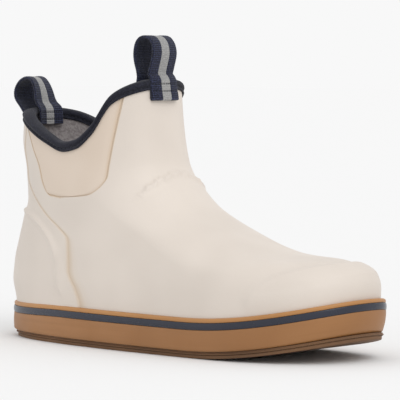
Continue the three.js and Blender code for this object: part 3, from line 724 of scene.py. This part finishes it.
def foxing_band(name, look, slot, node, profile, inner_gap=CLEARANCE):
    """profile has the band's heights, its face as (share of the height, inset), and its tuck at the toe."""
    low, high = profile["heights"]
    angle = FOXING_ANGLES
    toe = np.maximum(0, np.cos(angle)) ** 2
    sections = []
    for share, inset in profile["face"]:
        tuck = profile.get("tuck", 0.0) * toe * (1 - share) ** 1.5
        p = foxing_point(angle, inset + tuck)
        p[:, 2] = band_height(low + share * (high - low), p[:, 0])
        sections.append(p)
    for share in (1.0, 0.5, 0.0):
        z = low + share * (high - low)
        v = np.clip((z - SEAT_HEIGHT) / (FOXING_TOP - SEAT_HEIGHT), 0, 1) * V_FOXING
        p = layer(v + 0 * angle, angle, -inner_gap + 0 * angle)
        p[:, 2] = band_height(z, p[:, 0])
        sections.append(p)
    belongs(ring(name, np.stack(sections, 1), [look]), "boot", slot, node)


def rounded(low_radius, high_radius, height, bulge=0.0):
    """An outer face whose lower and upper edges are rounded, as shares of the height and insets."""
    turns = np.linspace(0, np.pi / 2, 6)
    low = [((1 - np.cos(t)) * low_radius / height, (1 - np.sin(t)) * low_radius) for t in turns]
    high = [(1 - (1 - np.cos(t)) * high_radius / height, (1 - np.sin(t)) * high_radius) for t in turns[::-1]]
    middle = [(s, 0.0) for s in np.linspace(low[-1][0], high[0][0], 8)[1:-1]]
    return [(s, inset - bulge * math.sin(math.pi * s)) for s, inset in low + middle + high]


foxing_band("foxing_wall_band", GUM, "gum_rubber", "foxing_wall", {
    "heights": WALL, "tuck": TOE_TUCK, "face": rounded(1.6, 0.4, WALL[1] - WALL[0], 0.35),
})
foxing_band("foxing_stripe_band", STRIPE_RUBBER, "stripe_rubber", "foxing_stripe", {
    "heights": (STRIPE[0] - 0.2, STRIPE[1] + 0.2), "face": rounded(0.5, 0.5, STRIPE[1] - STRIPE[0], 0.35),
})
foxing_band("foxing_strip_band", STRIP_RUBBER, "gum_strip_rubber", "foxing_top_strip", {
    "heights": STRIP, "face": [(s, i + 0.3) for s, i in rounded(0.5, 1.5, STRIP[1] - STRIP[0], 0.15)],
}, inner_gap=0.0)

# ---------- Outsole ----------

PLATE_STEPS = 360
PLATE_ANGLES = np.arange(PLATE_STEPS) * 2 * np.pi / PLATE_STEPS
GROOVE_REACH, GROOVE_SWEEP = 70.0, 35.0          # how far each V reaches to the side, and back
CUTTER_LOW, CUTTER_HIGH = -5.0, 40.0


def plate(name, outline, levels, look):
    """A plate that follows the sole's spring. levels gives [inset, height] up its edge."""
    rings = []
    for inset, z in levels:
        p = outline(inset)
        p[:, 2] = z + spring_at(p[:, 0])
        rings.append(p)
    n = len(levels)
    sides = grid_faces(n, PLATE_STEPS, wrap_cols=True)
    j = np.arange(PLATE_STEPS // 2)
    caps = np.stack([j, (PLATE_STEPS - j) % PLATE_STEPS, PLATE_STEPS - j - 1, j + 1], -1)
    faces = np.concatenate([sides, caps[:, ::-1], caps + (n - 1) * PLATE_STEPS])
    return piece(name, np.stack(rings), faces, [look])


def baked_cut(made, operation, other):
    """Cuts one mesh with another and keeps the result."""
    cut = made.modifiers.new("cut", "BOOLEAN")
    cut.operation, cut.object, cut.solver = operation, other, "EXACT"
    bpy.context.view_layer.update()
    mesh = bpy.data.meshes.new_from_object(made.evaluated_get(bpy.context.evaluated_depsgraph_get()))
    made.modifiers.clear()
    made.data = mesh
    bpy.data.objects.remove(other)


def outsole():
    """A slab with a rounded edge above a bordered tread with V-shaped grooves."""
    ground = lambda inset: foxing_point(PLATE_ANGLES, OUTSOLE_INSET + inset)
    slab_piece = plate("outsole_slab", ground, [
        (0.5, LUG_DEPTH), (0.1, LUG_DEPTH + 0.3), (0, LUG_DEPTH + 0.7), (0, OUTSOLE_TOP - 1.1),
        (0.15, OUTSOLE_TOP - 0.8), (0.6, OUTSOLE_TOP - 0.6), (0.6, OUTSOLE_TOP),
    ], OUTSOLE)
    tread = plate("outsole_tread", ground, [
        (TREAD_INSET + 0.5, 0), (TREAD_INSET + 0.12, 0.15), (TREAD_INSET, 0.5),
        (TREAD_INSET, LUG_DEPTH - 0.5), (TREAD_INSET + 0.4, LUG_DEPTH - 0.2),
        (TREAD_INSET + 0.4, LUG_DEPTH + 0.5),
    ], OUTSOLE)
    field = plate("tread_field", ground, [(TREAD_MARGIN, -0.5), (TREAD_MARGIN, LUG_DEPTH + 1)], OUTSOLE)
    corners, faces = [], []
    for tip in np.arange(-SOLE_LENGTH / 2, SOLE_LENGTH / 2 + GROOVE_SWEEP, LUG_PITCH):
        wing = tip - GROOVE_SWEEP
        plan = [
            (tip, 0), (wing, GROOVE_REACH), (wing - GROOVE_WIDTH, GROOVE_REACH), (tip - GROOVE_WIDTH, 0),
            (wing - GROOVE_WIDTH, -GROOVE_REACH), (wing, -GROOVE_REACH),
        ]
        base = len(corners)
        corners += [(px, py, z) for z in (CUTTER_LOW, CUTTER_HIGH) for px, py in plan]
        faces += [[base + i for i in q] for q in (
            (0, 3, 2, 1), (0, 5, 4, 3), (6, 7, 8, 9), (6, 9, 10, 11),
            (0, 1, 7, 6), (1, 2, 8, 7), (2, 3, 9, 8), (3, 4, 10, 9), (4, 5, 11, 10), (5, 0, 6, 11),
        )]
    grooves = piece("tread_cutter", corners, faces, [OUTSOLE])
    baked_cut(field, "INTERSECT", grooves)
    baked_cut(tread, "DIFFERENCE", field)
    for made in (slab_piece, tread):
        made.data.set_sharp_from_angle(angle=40 * DEGREE)
        belongs(made, "boot", "outsole_rubber", "outsole")


def footbed():
    """A foam footbed with a fabric cover, inside the lining."""
    seat = lambda inset: layer(0.0, PLATE_ANGLES, UPPER_THICKNESS + 2 * CLEARANCE + inset)

    def edges(low, high, soft):
        corner = 0.3 * soft
        return [(soft, low), (0, low + soft), (0, high - soft), (corner, high - corner), (soft, high)]

    foam = plate("footbed_foam_layer", seat, edges(*FOOTBED, 0.8), FOAM)
    cover = plate("footbed_cover_layer", seat, edges(*COVER, 0.3), LINING)
    belongs(foam, "boot", "foam", "footbed_foam")
    belongs(cover, "boot", "lining_fabric", "footbed_cover")


# ---------- Collar binding ----------

RIM_STEPS = 520
RIM_ANGLES = np.arange(RIM_STEPS) * 2 * np.pi / RIM_STEPS
STITCH_DROP = 3.9                # of the rim's stitches, below the collar's edge
RIM_STITCH = (2.5, 0.55)         # length and thickness
RIM_STITCH_PITCH = 3.4
# The tape's outer line from the outside, over the edge and down the inside: [out from the upper, drop].
TAPE = [
    (0.25, 6.2), (0.75, 6.25), (1.25, 5.95), (1.5, 5.4), (1.3, 4.8), (0.75, 4.35), (0.5, STITCH_DROP),
    (0.95, 3.4), (1.6, 2.8), (1.95, 2.0), (1.9, 1.2), (1.5, 0.45), (0.7, -0.2), (-0.6, -0.6),
    (-2.0, -0.8), (-3.3, -0.85),
    (-4.6, -0.75), (-5.8, -0.4), (-6.8, 0.2), (-7.3, 1.0), (-7.5, 2.1), (-7.4, 3.0), (-7.0, 3.6),
    (-6.8, STITCH_DROP), (-7.1, 4.6), (-7.4, 5.2), (-7.35, 5.9), (-7.0, 6.2), (-6.6, 6.1),
    (-6.5, 3.5), (-6.4, 1.6), (-3.2, 1.2), (0.2, 1.6), (0.2, 4.2),
]


def rim_point(angle, out, drop):
    """A point on the binding, out from the upper's face and down from the collar's edge."""
    v = below_collar(angle, max(drop, 0.01))
    p = layer(np.minimum(v, 1.0), angle, -out + 0 * angle)
    edge = layer(1.0 + 0 * angle, angle, -out + 0 * angle)
    blend = ease(np.asarray(drop) / 3.0)
    flat = edge - np.array([0, 0, 1.0]) * drop
    return flat * (1 - blend) + p * blend


def binding():
    wobble = 1 + 0.05 * ripple(RIM_ANGLES, (7, 0.3, 0.5), (17, 1.2, 0.4), (31, 2.2, 0.3))
    lines = [rim_point(RIM_ANGLES, out * (wobble if out > 0.3 else 1), drop) for out, drop in TAPE]
    made = ring("collar_binding_tape", np.stack(lines, 1), [BINDING])
    belongs(made, "boot", "binding_tape", "collar_binding")


def rim_stitches(name, side, node):
    """A row of stitches outside and one inside, clear of the webbing."""
    half = WEBBING_WIDTH / 2 + 1.5
    spots = []
    for out, drop in ((0.6, STITCH_DROP), (-6.9, STITCH_DROP)):
        angle = np.linspace(0.02, np.pi - 0.02, 2400) * side
        line = rim_point(angle, out, drop)
        travelled = np.concatenate([[0], np.cumsum(np.linalg.norm(np.diff(line, axis=0), axis=1))])
        half_pitch = RIM_STITCH_PITCH / 2
        spaced = np.arange(half_pitch, travelled[-1] - half_pitch, RIM_STITCH_PITCH)
        places = np.interp(spaced, travelled, angle)
        clear = np.abs(rim_point(places, out, drop)[:, 1]) > half
        spots.append((places[clear], out, drop))
    centres, along, outward = [], [], []
    for places, out, drop in spots:
        sign = 1 if out > 0 else -1
        centres.append(rim_point(places, out + sign * 0.12, drop))
        along.append(unit(rim_point(places + 0.01, out, drop) - rim_point(places - 0.01, out, drop)))
        outward.append(normal(1.0 + 0 * places, places) * sign)
    made = capsules(name, *map(np.concatenate, (centres, along, outward)), *RIM_STITCH, [THREAD])
    belongs(made, "boot", "thread", node)


binding()
rim_stitches("lateral_rim_stitches", 1, "binding_stitching_lateral")
rim_stitches("medial_rim_stitches", -1, "binding_stitching_medial")

# ---------- Pull loops ----------

# The webbing's middle line as [out from the collar's edge, up from it], from the outer tab's end over the
# binding and down to the inner tab's end. Its width bends by sag with the collar. skew is how far its edge
# on the foot's inner side lies out from the other one: at the tabs, at the neck, and more for each
# millimetre up.
FRONT_LOOP = dict(y=-2, sag=1.9, skew=(1.0, -3.4, 0), line=[
    (4.4, -12.2), (3.3, -6), (3.0, -2.8), (2.5, -0.3), (1.2, 1.9), (-0.3, 3.2), (-0.7, 4.8), (-0.1, 7.5),
    (1.3, 12), (2.4, 16), (2.6, 19.5), (1.4, 24), (-2.0, 27.7), (-6.8, 28.7), (-11.4, 27.4), (-14.5, 23.6),
    (-15.7, 18), (-15.3, 13), (-13.8, 8), (-11.8, 3.5), (-10.3, 0), (-9.6, -3.5), (-9.4, -11),
])
REAR_LOOP = dict(y=0, sag=2.0, skew=(2.2, 2.8, 0.36), line=[
    (5.6, -12.2), (5.5, -8.5), (6.6, -4), (10.2, 0.5), (14.6, 6), (16.2, 11), (15.6, 15.5), (13.2, 19.2),
    (9, 21.2), (4.2, 20.4), (0.8, 17.2), (-1.4, 13), (-2.7, 9), (-3.6, 5.4), (-4.4, 3.6), (-5.6, 2.3),
    (-7.2, 0.6), (-8.3, -2.5), (-8.6, -11),
])
HEM_LENGTH = 6.2                 # the outer tab's end, folded back under itself
STITCH_ROWS = (2.8, 7.7)         # below the collar's edge
TAB_STITCH = (1.7, 0.5)          # length and thickness
WEBBING_STEPS = 560
GREY_HALF = 4.0                  # half the grey stripe's width
SELVEDGE = 0.35                  # from the faces' last points to the webbing's rounded edges
RIB_HEIGHT = 0.26
SAG_AT, SKEW_OVER = 12.5, 25     # millimetres of width over which sag and skew are given
LEG_FADE = 120                   # steps of the outer leg over which the skew fades below the top


def catmull(points, count):
    """A smooth curve through points, at even steps along its length."""
    p = np.array([points[0], *points, points[-1]], float)
    dense = []
    for i in range(1, len(p) - 2):
        t = np.linspace(0, 1, 60, endpoint=False)[:, None]
        v0, v1 = (p[i + 1] - p[i - 1]) / 2, (p[i + 2] - p[i]) / 2
        a, b = p[i], p[i + 1]
        dense.append((2 * a - 2 * b + v0 + v1) * t**3 + (-3 * a + 3 * b - 2 * v0 - v1) * t**2 + v0 * t + a)
    dense = np.concatenate([*dense, p[-1:]])
    travelled = np.concatenate([[0], np.cumsum(np.linalg.norm(np.diff(dense, axis=0), axis=1))])
    at = np.linspace(0, travelled[-1], count)
    return np.stack([np.interp(at, travelled, dense[:, i]) for i in range(2)], 1), at


def hemmed(line):
    """The middle line with the outer tab's end folded back under it."""
    out, foot = line[0][0], line[0][1] - 0.9
    fold = out - 1.35
    hem = [(fold, foot + HEM_LENGTH), (fold, foot + 1.2), (fold + 0.35, foot + 0.2), (out - 0.35, foot)]
    return [*hem, *line]


def webbing_section():
    """A closed outline of [y, depth] across the webbing, and how many of its points lie on each face."""
    half, thick = WEBBING_WIDTH / 2, WEBBING_THICKNESS / 2
    ys = np.concatenate([
        np.linspace(-half + SELVEDGE, -4.1, 12),
        np.linspace(-3.9, 3.9, 10),
        np.linspace(4.1, half - SELVEDGE, 12),
    ])
    edge = [(half - 0.1, 0.55), (half, 0.0), (half - 0.1, -0.55)]
    outline = [(y, 1.0) for y in ys] + edge + [(y, -1.0) for y in ys[::-1]] + [(-y, -s) for y, s in edge]
    return np.array([(y, s * thick) for y, s in outline]), len(ys)


def webbing(name, loop, end, nodes):
    """The webbing from hem to inner tab. Returns a function that places points on one of its faces."""
    edge = surface(1.0, end)
    outward = 1.0 if math.cos(end) > 0 else -1.0
    steps = WEBBING_STEPS
    line, at = catmull(hemmed(loop["line"]), steps)
    up = line[:, 1]
    tangent = unit(np.gradient(line, axis=0))
    across = np.stack([tangent[:, 1], -tangent[:, 0]], 1)      # towards the outer face
    outline, on_face = webbing_section()
    y, depth = outline[:, 0], outline[:, 1]
    rib = 0.5 + 0.5 * np.cos(2 * np.pi * at / RIB_PITCH)
    in_stripe = np.abs(y) < GREY_HALF
    cord = RIB_HEIGHT * rib[:, None] * np.where(in_stripe, 0.35, 1.0)[None, :]
    cord = cord * (0.75 + 0.25 * np.cos(2 * np.pi * y / WARP_PITCH))[None, :]
    top = up.argmax()
    is_tab = up < 0
    groove = sum(0.45 * np.exp(-(((up + drop) / 0.55) ** 2)) * is_tab for drop in STITCH_ROWS)[:, None]
    face = np.sign(depth) * (np.abs(depth) > 0.7)
    stripe_gap = 0.12 * np.exp(-(((np.abs(y) - GREY_HALF) / 0.25) ** 2))
    height = depth[None, :] + face[None, :] * (cord - stripe_gap[None, :]) - (face > 0)[None, :] * groove
    sag = loop["sag"] * (1 - 0.7 * ease(up / 8))
    step = np.arange(steps)
    leg = np.where(step > top, 1.0, 0.3 + 0.7 * ease(1 - (top - step) / LEG_FADE))
    at_tab, at_neck, for_each = loop["skew"]
    more = at_neck - at_tab + for_each * np.maximum(up, 0)
    skew = (at_tab + more * ease(up / 6 + 0.5)) * leg

    def place(i, y, height):
        bent = ((loop["y"] + y) ** 2 - loop["y"] ** 2) / SAG_AT**2
        out = line[i, 0] + across[i, 0] * height - sag[i] * bent + skew[i] * y / SKEW_OVER
        z = edge[2] + up[i] + across[i, 1] * height
        return np.stack([edge[0] + outward * out, loop["y"] + y, z], -1)

    index = np.arange(steps)[:, None]
    points = place(index + 0 * depth.astype(int), y[None, :] + 0 * height, height)
    count = len(y)
    faces = grid_faces(steps, count, wrap_cols=True)
    grey = (np.abs(y + np.roll(y, -1)) / 2 < GREY_HALF) & (depth > 0.7)
    kind = np.tile(grey.astype(int), steps - 1)
    caps = end_caps(count, on_face, 0), end_caps(count, on_face, (steps - 1) * count)[:, ::-1]
    faces = np.concatenate([faces, *caps])
    kind = np.concatenate([kind, np.zeros(len(faces) - len(kind), int)])
    uv = np.stack([np.repeat(at, count), np.tile(y, steps)], 1)
    made = piece(name, points, faces, [NAVY, GREY], uv, kind)
    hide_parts(*nodes)
    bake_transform(made)

    def on_tab(drop, side, ys):
        """Points across the outer (1) or inner (-1) tab's open face, and that face's direction."""
        own = (index[:, 0] < top) & (at > HEM_LENGTH + 2) if side > 0 else index[:, 0] > top
        i = np.where(own, np.abs(up + drop), np.inf).argmin()
        away = np.array([outward * across[i, 0], 0, across[i, 1]])
        surface_height = WEBBING_THICKNESS / 2 - 0.12
        return place(np.full(len(ys), i), ys, surface_height), away

    return on_tab


def end_caps(count, on_face, start):
    """Quads that close the webbing's cut end, pairing the outer face's points with the inner face's."""
    pairs = [(i, (2 * on_face + 2 - i) % count) for i in range(on_face)]
    quads = [[start + pairs[i][0], start + pairs[i + 1][0], start + pairs[i + 1][1], start + pairs[i][1]]
             for i in range(on_face - 1)]
    first, last = on_face, on_face + 2
    quads.append([start + on_face - 1, start + first, start + first + 1, start + last])
    quads.append([start + count - 1, start + 0, start + pairs[0][1], start + count - 2])
    return np.array(quads)


def tab_stitches(name, on_tab, side, node):
    """Rows of stitches across a tab."""
    ys = np.arange(-WEBBING_WIDTH / 2 + 2.0, WEBBING_WIDTH / 2 - 1.6, 2.1)
    centres, away = zip(*(on_tab(drop, side, ys) for drop in STITCH_ROWS))
    centres = np.concatenate(centres)
    away = np.repeat(away, len(ys), axis=0)
    along = np.tile([0.0, 1.0, 0.0], (len(centres), 1))
    belongs(capsules(name, centres, along, away, *TAB_STITCH, [THREAD]), "boot", "thread", node)


LOOPS = (("front", FRONT_LOOP, 0.0, FRONT_HEIGHT), ("rear", REAR_LOOP, math.pi, BACK_HEIGHT))
for end, loop, angle, top in LOOPS:
    nodes = (f"{end}_pull_loop", f"{end}_loop_outer_tab", f"{end}_loop_inner_tab")
    on_tab = webbing(f"{end}_webbing", loop, angle, nodes)
    tab_stitches(f"{end}_outer_tab_stitches", on_tab, 1, f"{end}_outer_tab_stitching")
    tab_stitches(f"{end}_inner_tab_stitches", on_tab, -1, f"{end}_inner_tab_stitching")

footbed()
outsole()

# ---------- Floor, light and camera ----------

PALE = colour(248, 248, 248)
SUN = 0.8
SUN_ON_FLOOR = 0.69              # the share of the sun's strength that a level floor gets
FLOOR_HALF = 12.0                # metres


def floor():
    mesh = bpy.data.meshes.new("studio_floor")
    half = FLOOR_HALF
    corners = [(-half, -half, 0), (half, -half, 0), (half, half, 0), (-half, half, 0)]
    mesh.from_pydata(corners, [], [(0, 1, 2, 3)])
    made = bpy.data.objects.new("studio_floor", mesh)
    bpy.context.scene.collection.objects.link(made)
    look = Look("studio_floor", 0.9, 0.0)
    # Darker than the backdrop by what the sun adds, so that the sunlit floor is as pale.
    lit = PALE[0] / (PALE[0] + SUN * SUN_ON_FLOOR / math.pi)
    shade = lambda share: (lit * share, lit * share, lit * share, 1)
    look.paint(look.mix(look.noise(2.0), shade(1.0), shade(0.995)))
    mesh.materials.append(look.material)


def sun(towards, strength, softness):
    """A soft light from one direction."""
    data = bpy.data.lights.new("sun", "SUN")
    data.energy, data.angle = strength, softness
    lamp = bpy.data.objects.new("sun", data)
    lamp.rotation_euler = Vector(towards).to_track_quat("Z", "Y").to_euler()
    bpy.context.scene.collection.objects.link(lamp)


AZIMUTH, ELEVATION, DISTANCE = math.radians(42.6), math.radians(3.0), 1.8
AIM = Vector((0.01419, -0.00013, 0.0988))
LENS, SENSOR = 243.9, 36.0       # millimetres


def camera():
    level = math.cos(ELEVATION)
    back = Vector((math.sin(AZIMUTH) * level, -math.cos(AZIMUTH) * level, math.sin(ELEVATION)))
    data = bpy.data.cameras.new("camera")
    data.lens, data.sensor_width = LENS, SENSOR
    made = bpy.data.objects.new("camera", data)
    made.location = AIM + back * DISTANCE
    made.rotation_euler = (-back).to_track_quat("-Z", "Y").to_euler()
    bpy.context.scene.collection.objects.link(made)
    bpy.context.scene.camera = made


def world(strength):
    made = bpy.data.worlds.new("studio")
    made.use_nodes = True
    background = made.node_tree.nodes["Background"]
    background.inputs["Color"].default_value = PALE
    background.inputs["Strength"].default_value = strength
    bpy.context.scene.world = made


floor()
world(1.0)
sun((0.75, -0.25, 0.75), SUN, 40 * DEGREE)
camera()
bpy.context.scene.view_settings.view_transform = "Standard"
